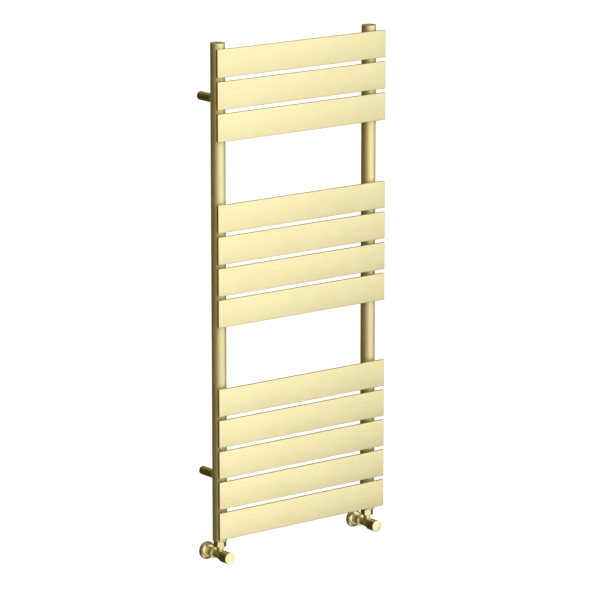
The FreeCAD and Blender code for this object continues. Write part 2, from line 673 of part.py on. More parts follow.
os.makedirs("parts", exist_ok=True)
for thing in nodes:
    thing.Shape.exportStep(f"parts/{thing.Label}.step")
    solids = len(thing.Shape.Solids)
    print(f"{thing.Label}: {solids} solid{'s' if solids > 1 else ''}, {thing.Shape.Volume / 1000:.2f} cm3")
print(f"{len(nodes)} nodes")
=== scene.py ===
"""The looks of a wall-hung towel warming rail in brushed brass.

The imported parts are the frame.  Places and main sizes are read from their boxes; the finer
sizes are named fields, in metres.  Most visible pieces are skins worked out with numpy.  The
bracket sleeves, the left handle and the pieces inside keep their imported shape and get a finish.
"""

import logging
import math
from collections.abc import Iterable, Sequence
from dataclasses import dataclass, field
from enum import Enum
from functools import cache

import bmesh
import bpy
import numpy as np
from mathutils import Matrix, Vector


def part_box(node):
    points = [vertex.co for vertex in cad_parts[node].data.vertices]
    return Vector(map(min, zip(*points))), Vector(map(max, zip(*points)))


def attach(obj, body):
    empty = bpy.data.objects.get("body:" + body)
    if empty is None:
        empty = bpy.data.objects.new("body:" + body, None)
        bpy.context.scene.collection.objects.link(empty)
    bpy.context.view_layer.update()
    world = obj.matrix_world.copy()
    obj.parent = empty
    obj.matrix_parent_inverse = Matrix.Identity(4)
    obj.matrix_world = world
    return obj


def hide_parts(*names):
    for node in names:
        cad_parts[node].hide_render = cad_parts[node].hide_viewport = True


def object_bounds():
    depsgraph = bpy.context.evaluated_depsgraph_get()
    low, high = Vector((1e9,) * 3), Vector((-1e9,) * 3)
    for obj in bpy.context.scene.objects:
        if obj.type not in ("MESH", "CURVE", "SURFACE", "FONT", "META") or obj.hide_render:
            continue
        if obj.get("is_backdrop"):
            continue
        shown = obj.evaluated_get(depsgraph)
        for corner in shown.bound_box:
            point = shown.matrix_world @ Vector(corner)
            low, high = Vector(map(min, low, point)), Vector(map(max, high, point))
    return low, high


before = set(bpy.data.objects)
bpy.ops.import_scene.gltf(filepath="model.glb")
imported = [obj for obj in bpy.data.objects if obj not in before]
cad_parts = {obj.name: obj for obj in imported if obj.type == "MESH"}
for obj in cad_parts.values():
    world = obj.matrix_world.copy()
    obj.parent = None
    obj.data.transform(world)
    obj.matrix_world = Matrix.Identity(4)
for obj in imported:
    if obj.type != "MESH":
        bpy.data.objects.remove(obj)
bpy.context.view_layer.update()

LOG = logging.getLogger("towel_rail")
WELD_DISTANCE = 1e-6
FULL_TURN = 2 * math.pi
ROUND_STEPS = 5                     # points in a small rounded edge
SEGMENTS = 96                       # points round a turned piece
NECK_SEGMENTS = 48
NUT_SEGMENTS = 144
SLIP = 0.00005                      # radial, between pieces that fit in each other

Colour = tuple[float, float, float]
Corner = tuple[float, float, float]


# ---------------------------------------------------------------- shapes

class Heading(Enum):
    """Which way a turned piece's axis runs: its across, its second across and its along vector."""

    UP = ((1, 0, 0), (0, 1, 0), (0, 0, 1))
    ROOM = ((1, 0, 0), (0, 0, 1), (0, -1, 0))


@dataclass(frozen=True)
class Axis:
    """A turning axis: the point that heights are measured from, and its heading."""

    x: float
    y: float
    z: float
    heading: Heading = Heading.UP

    def place(self, local: np.ndarray) -> np.ndarray:
        """Turns local points (across, second across, along) into points of the frame."""
        return np.array([self.x, self.y, self.z]) + local @ np.array(self.heading.value, float)


def rounded(corners: Sequence[Corner], loop: bool = False) -> np.ndarray:
    """Rounds an outline's corners with arcs.

    An arc of radius f touches both edges at f / tan(half the corner's angle) from the corner;
    its points turn evenly about a centre at f / sin(half the angle) along the bisector.

    Args:
        corners: (radius, height, rounding) of each corner in turn.
        loop: whether the outline closes on itself.

    Returns:
        The outline's points, one (radius, height) a row.
    """
    points = [np.array(corner[:2], float) for corner in corners]
    last = len(points) - 1
    outline = []
    for index, point in enumerate(points):
        fillet = corners[index][2]
        if fillet == 0 or (not loop and index in (0, last)):
            outline.append(point[None])
            continue
        before = points[index - 1] - point
        after = points[(index + 1) % len(points)] - point
        before = before / np.linalg.norm(before)
        after = after / np.linalg.norm(after)
        half = math.acos(np.clip(before @ after, -1, 1)) / 2
        bisector = (before + after) / np.linalg.norm(before + after)
        centre = point + bisector * fillet / math.sin(half)
        spokes = [point + way * fillet / math.tan(half) - centre for way in (before, after)]
        sweep = math.pi - 2 * half
        share = np.linspace(0, 1, ROUND_STEPS)[:, None]
        arc = (np.sin((1 - share) * sweep) * spokes[0] + np.sin(share * sweep) * spokes[1])
        outline.append(centre + arc / math.sin(sweep))
    return np.concatenate(outline)


def bow(start: tuple[float, float], end: tuple[float, float], radius: float, count: int) -> list[Corner]:
    """An arc of a given radius between two points of an outline, bulging to the left of the way.

    Args:
        start: where the arc starts, as (radius, height).
        end: where it ends.
        radius: the arc's own radius; a negative one bulges to the right.
        count: how many points it has, its ends among them.

    Returns:
        The arc's points as corners without rounding.
    """
    first, second = np.array(start, float), np.array(end, float)
    chord = second - first
    length = np.linalg.norm(chord)
    normal = np.array([-chord[1], chord[0]]) / length * math.copysign(1, radius)
    rise = abs(radius) - math.sqrt(radius**2 - (length / 2) ** 2)
    centre = (first + second) / 2 + normal * (rise - abs(radius))
    spokes = [first - centre, second - centre]
    sweep = 2 * math.asin(length / 2 / abs(radius))
    share = np.linspace(0, 1, count)[:, None]
    arc = np.sin((1 - share) * sweep) * spokes[0] + np.sin(share * sweep) * spokes[1]
    return [(r, h, 0.0) for r, h in centre + arc / math.sin(sweep)]


def round_angles(segments: int = SEGMENTS) -> np.ndarray:
    """Even angles round a full turn."""
    return np.linspace(0, FULL_TURN, segments, endpoint=False)


def hexagon(flats: float, angles: np.ndarray) -> np.ndarray:
    """A hexagon's reach at each angle: half its flats over the cosine of the angle to the nearest flat."""
    sixth = FULL_TURN / 6
    off = (angles + sixth / 2) % sixth - sixth / 2
    return flats / 2 / np.cos(off)


def turned(outline: np.ndarray, axis: Axis, radii: np.ndarray | None = None) -> np.ndarray:
    """Carries an outline round an axis: each point goes round a circle of its own radius.

    Args:
        outline: (radius, height) of each point.
        axis: what it turns about.
        radii: a radius for each point and angle, where the piece isn't round.

    Returns:
        A grid of points, outline by angle.
    """
    if radii is None:
        radii = np.repeat(outline[:, :1], SEGMENTS, axis=1)
    angles = round_angles(radii.shape[1])
    heights = np.broadcast_to(outline[:, 1:], radii.shape)
    return axis.place(np.stack([radii * np.cos(angles), radii * np.sin(angles), heights], axis=-1))


def skin(name: str, grids: Sequence[np.ndarray], loop: bool = False, caps: bool = False,
         crease: float = 32.0) -> bpy.types.Object:
    """Puts grids of points, each wrapped round in its second direction, into one mesh object.

    Neighbouring points make quads.  Points that meet, as at a pole, are merged, the faces are
    turned outwards and shaded smooth, and edges sharper than the crease stay crisp.

    Args:
        name: the piece's name.
        grids: each an array of points, rows by columns.
        loop: whether the last row joins the first.
        caps: whether the first and last rows are closed with a face.
        crease: the sharp angle in degrees.

    Returns:
        The piece, at the origin.
    """
    faces, base = [], 0
    for grid in grids:
        index = base + np.arange(grid.shape[0] * grid.shape[1]).reshape(grid.shape[:2])
        lower = index if loop else index[:-1]
        upper = np.roll(index, -1, axis=0) if loop else index[1:]
        quads = np.stack([lower, np.roll(lower, -1, 1), np.roll(upper, -1, 1), upper], axis=-1)
        faces += quads.reshape(-1, 4).tolist()
        if caps:
            faces += [index[0][::-1].tolist(), index[-1].tolist()]
        base += index.size
    mesh = bpy.data.meshes.new(name)
    mesh.from_pydata(np.concatenate([grid.reshape(-1, 3) for grid in grids]).tolist(), [], faces)
    work = bmesh.new()
    work.from_mesh(mesh)
    bmesh.ops.remove_doubles(work, verts=work.verts, dist=WELD_DISTANCE)
    bmesh.ops.recalc_face_normals(work, faces=work.faces)
    work.to_mesh(mesh)
    work.free()
    mesh.shade_smooth()
    mesh.set_sharp_from_angle(angle=math.radians(crease))
    piece = bpy.data.objects.new(name, mesh)
    bpy.context.scene.collection.objects.link(piece)
    return piece


# ---------------------------------------------------------------- finishes

NOISE_LOW, NOISE_HIGH = 0.3, 0.7    # most of a noise lies between these
CLOUD_SCALE = 9.0                   # per metre, of the slow drift in tone
BLOTCH_SCALE = 55.0                 # per metre, of the patches in roughness
CLOUD_SHARE = 0.015
LINE_ROUGHNESS = 0.05
BLOTCH_ROUGHNESS = 0.025
EDGE_HIGHLIGHT_GAIN = 0.2                 # painted highlight: a fully rounded edge's gain in tone
WORN_SMOOTHER = 0.3                 # and its loss in roughness
TURN_SCALE = 0.35                   # how fast the lines change on their way round an axis


class Grain(Enum):
    """Which way a metal's fine lines run."""

    ALONG_X = "along the bar"
    ALONG_Z = "up the tube"
    ROUND_Y = "round an axis that points at the wall"
    ROUND_Z = "round an upright axis"
    CAST = "no direction"


class Shader:
    """A material's nodes, added one at a time."""

    def __init__(self, name: str) -> None:
        """Starts an empty material."""
        self.material = bpy.data.materials.new(name)
        self.material.use_nodes = True
        self.tree = self.material.node_tree
        self.tree.nodes.clear()

    def add(self, kind: str, inputs: dict, **settings: object) -> bpy.types.Node:
        """Adds a node.

        Args:
            kind: the node's type, without its usual start.
            inputs: a value or another node's socket for each input, by name or number.
            settings: the node's own settings.

        Returns:
            The node.
        """
        node = self.tree.nodes.new("ShaderNode" + kind)
        for name, value in settings.items():
            setattr(node, name, value)
        for key, value in inputs.items():
            if isinstance(value, bpy.types.NodeSocket):
                self.tree.links.new(value, node.inputs[key])
            else:
                node.inputs[key].default_value = value
        return node

    def math(self, operation: str, *values: object) -> bpy.types.NodeSocket:
        """A number worked out from one or two others."""
        return self.add("Math", dict(enumerate(values)), operation=operation).outputs[0]

    def spread(self, value: bpy.types.NodeSocket, low: float, high: float) -> bpy.types.NodeSocket:
        """A noise's middle range stretched to run from low to high."""
        ramp = self.add("MapRange", {"Value": value, "From Min": NOISE_LOW, "From Max": NOISE_HIGH,
                                     "To Min": low, "To Max": high})
        return ramp.outputs["Result"]

    def noise(self, vector: bpy.types.NodeSocket, scale: float, detail: float = 2.0) -> bpy.types.NodeSocket:
        """Plain cloudy noise at a scale."""
        return self.add("TexNoise", {"Vector": vector, "Scale": scale, "Detail": detail}).outputs["Fac"]

    def place(self) -> bpy.types.NodeSocket:
        """The point on the piece, in the frame's metres."""
        return self.add("TexCoord", {}).outputs["Object"]


@dataclass(frozen=True)
class Metal:
    """A metal with fine lines, a faint uneven tone, and edges rubbed a little smoother and painted a little
    brighter as a highlight.
    """

    name: str
    colour: Colour
    roughness: float
    grain: Grain = Grain.CAST
    across: float = 0.225           # of a turned piece's axis, from the middle of the rail
    depth: float = 0.0              # of an upright axis, from the wall
    height: float = 0.0             # of a level axis, above or below the fixings' middle
    line_width: float = 0.0007
    line_length: float = 0.16
    line_depth: float = 0.00002
    contrast: float = 0.05
    # on rounded edges: wear that lowers the roughness, and a painted highlight that lightens the tone
    edge_wear_and_highlight: float = 0.25

    def lines(self, shader: Shader) -> bpy.types.NodeSocket:
        """The point in the grain's own measure: one unit is a line's width, or its length along it.

        Round an axis, the measure is the distance from the axis and the place along it, so the
        lines go round.  The rail is alike on both sides and above and below, so one distance
        serves each pair of axes.
        """
        point = shader.place()
        thin, long = 1 / self.line_width, 1 / self.line_length
        if self.grain in (Grain.ALONG_X, Grain.ALONG_Z, Grain.CAST):
            scale = {Grain.ALONG_X: (long, thin, thin), Grain.ALONG_Z: (thin, thin, long),
                     Grain.CAST: (thin, thin, thin)}[self.grain]
            return shader.add("Mapping", {"Vector": point, "Scale": scale}).outputs[0]
        split = shader.add("SeparateXYZ", {0: point})
        side = shader.math("SUBTRACT", shader.math("ABSOLUTE", split.outputs["X"]), self.across)
        if self.grain is Grain.ROUND_Y:
            level = shader.math("ABSOLUTE", split.outputs["Z"])
            other, along = shader.math("SUBTRACT", level, self.height), split.outputs["Y"]
        else:
            other, along = shader.math("SUBTRACT", split.outputs["Y"], self.depth), split.outputs["Z"]
        reach = shader.math("SQRT", shader.math(
            "ADD", shader.math("MULTIPLY", side, side), shader.math("MULTIPLY", other, other)))
        turn = shader.math("MULTIPLY", shader.math("ARCTAN2", side, other), TURN_SCALE)
        measure = shader.add("CombineXYZ", {0: shader.math("MULTIPLY", reach, thin),
                                            1: shader.math("MULTIPLY", along, thin), 2: turn})
        return measure.outputs[0]

    def edges(self, shader: Shader) -> bpy.types.NodeSocket:
        """How much the surface slopes between the piece's main faces: 1 in the middle of a rounded edge.

        On a bar that is twice what is left of 1 after the fourth powers of the normal's three
        parts; on a turned piece, 4 s (1 - s), where s is the square of the part along its axis.
        """
        normal = shader.add("SeparateXYZ", {0: shader.add("NewGeometry", {}).outputs["Normal"]})
        if self.grain in (Grain.ALONG_X, Grain.CAST):
            powers = [shader.math("POWER", shader.math("ABSOLUTE", normal.outputs[i]), 4.0) for i in range(3)]
            total = shader.math("ADD", shader.math("ADD", powers[0], powers[1]), powers[2])
            return shader.math("MULTIPLY", shader.math("SUBTRACT", 1.0, total), 2.0)
        part = normal.outputs["Y" if self.grain is Grain.ROUND_Y else "Z"]
        square = shader.math("MULTIPLY", part, part)
        rest = shader.math("SUBTRACT", 1.0, square)
        return shader.math("MULTIPLY", shader.math("MULTIPLY", square, rest), 4.0)

    def material(self) -> bpy.types.Material:
        """The finish as a material."""
        shader = Shader(self.name)
        lines = self.lines(shader)
        point = shader.place()
        fine = shader.noise(lines, 1.0, 3.0)
        broad = shader.noise(lines, 0.22, 2.0)
        cloud = shader.noise(point, CLOUD_SCALE, 3.0)
        blotch = shader.noise(point, BLOTCH_SCALE, 2.0)
        mixed = shader.math("ADD", shader.math("MULTIPLY", fine, 0.5), shader.math("MULTIPLY", broad, 0.5))
        tone = shader.spread(mixed, 1 - self.contrast, 1 + self.contrast)
        drift = shader.spread(cloud, 1 - CLOUD_SHARE, 1 + CLOUD_SHARE)
        # Rounded edges are rubbed smoother by wear and painted lighter in tone as a painted highlight.
        worn_and_highlit = shader.math("MULTIPLY", self.edges(shader), self.edge_wear_and_highlight)
        strength = shader.math("MULTIPLY", shader.math("MULTIPLY", tone, drift),
                               shader.math("ADD", 1.0, shader.math("MULTIPLY", worn_and_highlit, EDGE_HIGHLIGHT_GAIN)))
        tint = shader.add("VectorMath", {0: self.colour, "Scale": strength}, operation="SCALE")
        rubbed = shader.math("SUBTRACT", self.roughness, shader.math("MULTIPLY", worn_and_highlit, WORN_SMOOTHER))
        uneven = shader.math("ADD", shader.spread(mixed, -LINE_ROUGHNESS, LINE_ROUGHNESS),
                             shader.spread(blotch, -BLOTCH_ROUGHNESS, BLOTCH_ROUGHNESS))
        roughness = shader.math("ADD", rubbed, uneven)
        bump = shader.add("Bump", {"Height": mixed, "Strength": 0.6, "Distance": self.line_depth})
        surface = shader.add("BsdfPrincipled", {
            "Base Color": tint.outputs[0], "Metallic": 1.0, "Roughness": roughness,
            "Normal": bump.outputs[0]})
        shader.add("OutputMaterial", {"Surface": surface.outputs[0]})
        return shader.material


@dataclass(frozen=True)
class Rubber:
    """Matt black rubber with a faint moulded mottle."""

    name: str
    colour: Colour
    roughness: float
    speck: float = 0.0009
    unevenness: float = 0.1

    def material(self) -> bpy.types.Material:
        """The finish as a material."""
        shader = Shader(self.name)
        speck = shader.noise(shader.place(), 1 / self.speck, 3.0)
        tint = shader.add("VectorMath", {0: self.colour, "Scale": shader.spread(speck, 0.75, 1.3)},
                          operation="SCALE")
        bump = shader.add("Bump", {"Height": speck, "Strength": 0.3, "Distance": self.speck / 10})
        smooth, rough = self.roughness - self.unevenness, self.roughness + self.unevenness
        surface = shader.add("BsdfPrincipled", {
            "Base Color": tint.outputs[0], "Roughness": shader.spread(speck, smooth, rough),
            "Normal": bump.outputs[0]})
        shader.add("OutputMaterial", {"Surface": surface.outputs[0]})
        return shader.material


Finish = Metal | Rubber

VALVE_LEVEL = 0.650
BRACKET_LEVEL = 0.454
TUBE_DEPTH = -0.068
GOLD: Colour = (0.955, 0.872, 0.515)
RAW: Colour = (0.83, 0.66, 0.33)
STEEL: Colour = (0.58, 0.57, 0.55)


class Finishes:
    """The rail's finishes, by where they go."""

    BAR = Metal("bar_brushed_gold", GOLD, 0.42, Grain.ALONG_X, line_width=0.0009, line_length=0.22)
    TUBE = Metal("tube_brushed_gold", GOLD, 0.6, Grain.ALONG_Z, line_width=0.0008, line_length=0.12)
    NECK = Metal("neck_gold", GOLD, 0.4, Grain.CAST, line_width=0.002, contrast=0.03)
    TUBE_END = Metal("tube_end_gold", GOLD, 0.34, Grain.ROUND_Z, depth=TUBE_DEPTH, contrast=0.04)
    SLEEVE = Metal("sleeve_gold", GOLD, 0.3, Grain.ROUND_Y, height=BRACKET_LEVEL)
    VALVE = Metal("valve_gold", GOLD, 0.42, Grain.ROUND_Y, height=VALVE_LEVEL, contrast=0.04)
    HEAD = Metal("head_gold", GOLD, 0.3, Grain.ROUND_Y, height=VALVE_LEVEL, line_width=0.0006,
                 line_depth=0.00003, contrast=0.07)
    SPIGOT = Metal("spigot_gold", GOLD, 0.36, Grain.ROUND_Z, depth=TUBE_DEPTH, contrast=0.04)
    PLUG = Metal("plug_gold", GOLD, 0.3, Grain.ROUND_Z, depth=TUBE_DEPTH)
    RAW_LEVEL = Metal("machined_brass_level", RAW, 0.3, Grain.ROUND_Y, height=VALVE_LEVEL)
    RAW_UPRIGHT = Metal("machined_brass_upright", RAW, 0.3, Grain.ROUND_Z, depth=TUBE_DEPTH)
    WELDED = Metal("welded_steel", STEEL, 0.45, Grain.CAST, line_width=0.003, contrast=0.12)
    PLAIN = Metal("zinc_plated_steel", STEEL, 0.3, Grain.CAST, line_width=0.0015, contrast=0.08)
    SEAL = Rubber("black_rubber", (0.018, 0.018, 0.019), 0.55)


@cache
def material_of(finish: Finish) -> bpy.types.Material:
    """A finish's material, made once."""
    return finish.material()


def dress(piece: bpy.types.Object, finish: Finish) -> bpy.types.Object:
    """Gives a piece, new or packed, one finish all over."""
    piece.data.materials.clear()
    piece.data.materials.append(material_of(finish))
    return piece


def dress_packed(nodes: Iterable[str], finish: Finish) -> None:
    """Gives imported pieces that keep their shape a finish."""
    for name in nodes:
        dress(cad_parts[name], finish)
        LOG.info("%s keeps its packed shape, in %s", name, finish.name)


def fit(piece: bpy.types.Object, finish: Finish, body: str, slot: str, *nodes: str) -> None:
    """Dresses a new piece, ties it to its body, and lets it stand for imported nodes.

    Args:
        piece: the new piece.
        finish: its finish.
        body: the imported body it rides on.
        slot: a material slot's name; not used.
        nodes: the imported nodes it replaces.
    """
    dress(piece, finish)
    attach(piece, body)
    if nodes:
        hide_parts(*nodes)
    LOG.info("%s: %d faces, rides on %s", piece.name, len(piece.data.polygons), body)


# ---------------------------------------------------------------- the rail's sub-assemblies

@dataclass
class Bars:
    """The twelve flat bars, each a rounded slab."""

    edge: float = 0.0012
    steps: int = 6
    nodes: list[str] = field(default_factory=lambda: [f"bar_{n:02d}" for n in range(1, 13)])

    def slab(self, node: str) -> np.ndarray:
        """A bar's skin: a rounded rectangle carried along X.

        Each section is the bar's core rectangle grown by edge * sin(t), and stands
        edge * (1 - cos(t)) in from the bar's end, where t goes from nothing at the end face to
        a quarter turn, and back at the other end.
        """
        lo, hi = (np.array(corner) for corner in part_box(node))
        middle, core = (lo + hi) / 2, (hi - lo) / 2 - self.edge
        quarter = np.linspace(0, math.pi / 2, self.steps)
        turns = np.add.outer(np.arange(4) * math.pi / 2, quarter).ravel()
        y_side = np.repeat([1, -1, -1, 1], self.steps)
        z_side = np.repeat([1, 1, -1, -1], self.steps)
        grow = self.edge * np.sin(np.concatenate([quarter, quarter[::-1]]))[:, None]
        ends = np.concatenate([-core[0] - self.edge * np.cos(quarter),
                               core[0] + self.edge * np.cos(quarter[::-1])])[:, None]
        y = core[1] * y_side + grow * np.cos(turns)
        z = core[2] * z_side + grow * np.sin(turns)
        return middle + np.stack([np.broadcast_to(ends, y.shape), y, z], axis=-1)

    def build(self) -> None:
        """Makes and dresses each bar."""
        for node in self.nodes:
            fit(skin(f"{node}_skin", [self.slab(node)], caps=True), Finishes.BAR, "rail",
                "brushed_gold_steel", node)


@dataclass
class Collectors:
    """The two upright tubes with the necks that carry the bars, and what closes their tops."""

    wall: float = 0.0015
    rim: float = 0.0004
    weld: float = 0.0016            # of the bead round each end of a neck
    tuck: float = 0.0003            # of a neck's ends into what it is welded to
    rows: int = 15
    plug_radius: float = 0.013
    plug_head: float = 0.0018
    plug_thread_radius: float = 0.01045
    plug_edge: float = 0.0004
    plug_seam: float = 0.00035
    socket_flats: float = 0.008
    socket_depth: float = 0.006
    bleed_radius: float = 0.00255
    bleed_depth: float = 0.0073
    bleed_edge: float = 0.0003
    bush_length: float = 0.014
    bars: Bars = field(default_factory=Bars)

    def tube(self, side: str) -> tuple[Axis, float, float]:
        """A tube's axis from its lower end, its length and its radius."""
        lo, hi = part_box(f"{side}_collector")
        axis = Axis((lo.x + hi.x) / 2, (lo.y + hi.y) / 2, lo.z)
        return axis, hi.z - lo.z, (hi.x - lo.x) / 2

    def neck(self, side: str, bar: str) -> np.ndarray:
        """A neck between a bar's back and the tube, with a weld bead at each end.

        Its radius is the neck's own plus a bead that falls off with the square of the distance
        from the end.  Its far end lies on the tube, at the tube's depth less the square root of
        the tube's radius squared less the point's across squared.
        """
        axis, _, tube_radius = self.tube(side)
        lo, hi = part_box(bar)
        necks_lo, necks_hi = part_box(f"{side}_bar_necks")
        radius = (necks_hi.x - necks_lo.x) / 2
        angles = round_angles(NECK_SEGMENTS)
        share = (1 - np.cos(np.linspace(0, math.pi, self.rows)))[:, None] / 2
        widest = radius + self.weld
        near = hi.y - self.tuck
        far = axis.y - np.sqrt(tube_radius**2 - (widest * np.cos(angles)) ** 2) + self.tuck
        y = near + share * (far - near)
        gap = np.minimum(y - near, far - y) - self.tuck
        bead = self.weld * np.clip(1 - gap / self.weld, 0, 1) ** 2
        reach = radius + bead
        x = axis.x + reach * np.cos(angles)
        z = (lo.z + hi.z) / 2 + reach * np.sin(angles)
        return np.stack([x, y, z], axis=-1)

    def top(self, side: str) -> None:
        """The ring welded in the tube's top and the flush plug in it: blank left, with a vent right."""
        axis, length, radius = self.tube(side)
        top = Axis(axis.x, axis.y, axis.z + length)
        inner, seam, bush_bore = radius - self.wall, self.plug_seam / 2, self.plug_radius + SLIP
        ring = rounded([(bush_bore, -self.bush_length, 0), (inner, -self.bush_length, 0),
                        (inner, 0, seam), (bush_bore, 0, seam)], loop=True)
        fit(skin(f"{side}_top_ring", [turned(ring, top)], loop=True), Finishes.TUBE_END, "rail",
            "brushed_gold_steel", *(["collector_top_bushes"] if side == "left" else []))
        lo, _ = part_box("blanking_plug" if side == "left" else "vent_plug")
        low, thread = lo.z - top.z, self.plug_thread_radius
        lower = [(0, low, 0), (thread, low, self.plug_edge), (thread, -self.plug_head, 0),
                 (self.plug_radius, -self.plug_head, self.bleed_edge), (self.plug_radius, 0, 2 * seam)]
        if side == "left":
            half, edge, depth = self.socket_flats / 2, self.plug_edge, self.socket_depth
            outline = rounded([*lower, (half + edge, 0, 0), (half, -edge, 0), (half, -depth, 0),
                               (0, -depth, 0)])
            socket = slice(-4, -1)
            radii = np.repeat(outline[:, :1], SEGMENTS, axis=1)
            radii[socket] = hexagon(2, round_angles()) * outline[socket, :1]
            fit(skin("blanking_plug_skin", [turned(outline, top, radii)]), Finishes.PLUG, "rail",
                "plug_brass", "blanking_plug")
        else:
            way, edge, depth = self.bleed_radius, self.bleed_edge, self.bleed_depth
            outline = rounded([*lower, (way + edge, 0, 0), (way, -edge, 0), (way, -depth, 0), (0, -depth, 0)])
            fit(skin("vent_plug_skin", [turned(outline, top)]), Finishes.PLUG, "rail",
                "plug_brass", "vent_plug")

    def build(self) -> None:
        """Makes and dresses both tubes, their necks and their tops."""
        for side in ("left", "right"):
            axis, length, radius = self.tube(side)
            inner = radius - self.wall
            wall = rounded([(inner, 0, self.rim / 2), (radius, 0, self.rim), (radius, length, self.rim),
                            (inner, length, self.rim / 2)], loop=True)
            fit(skin(f"{side}_collector_skin", [turned(wall, axis)], loop=True), Finishes.TUBE, "rail",
                "brushed_gold_steel", f"{side}_collector")
            necks = [self.neck(side, bar) for bar in self.bars.nodes]
            fit(skin(f"{side}_necks_skin", necks, caps=True), Finishes.NECK, "rail",
                "brushed_gold_steel", f"{side}_bar_necks")
            self.top(side)
        dress_packed(["collector_bottom_bushes"], Finishes.WELDED)
        dress_packed(["bleed_screw"], Finishes.PLUG)
        dress_packed(["top_plug_seals"], Finishes.SEAL)


@dataclass
class Brackets:
    """The four wall brackets: sleeve, the wall base and the rail's boss inside it, and their screws."""

    def build(self) -> None:
        """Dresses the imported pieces."""
        sleeves = [f"{level}_{side}_bracket_sleeve" for level in ("upper", "lower")
                   for side in ("left", "right")]
        dress_packed([*sleeves, "bracket_bosses"], Finishes.SLEEVE)
        dress_packed(["bracket_wall_bases", "base_grub_screws", "rail_grub_screws"], Finishes.PLAIN)


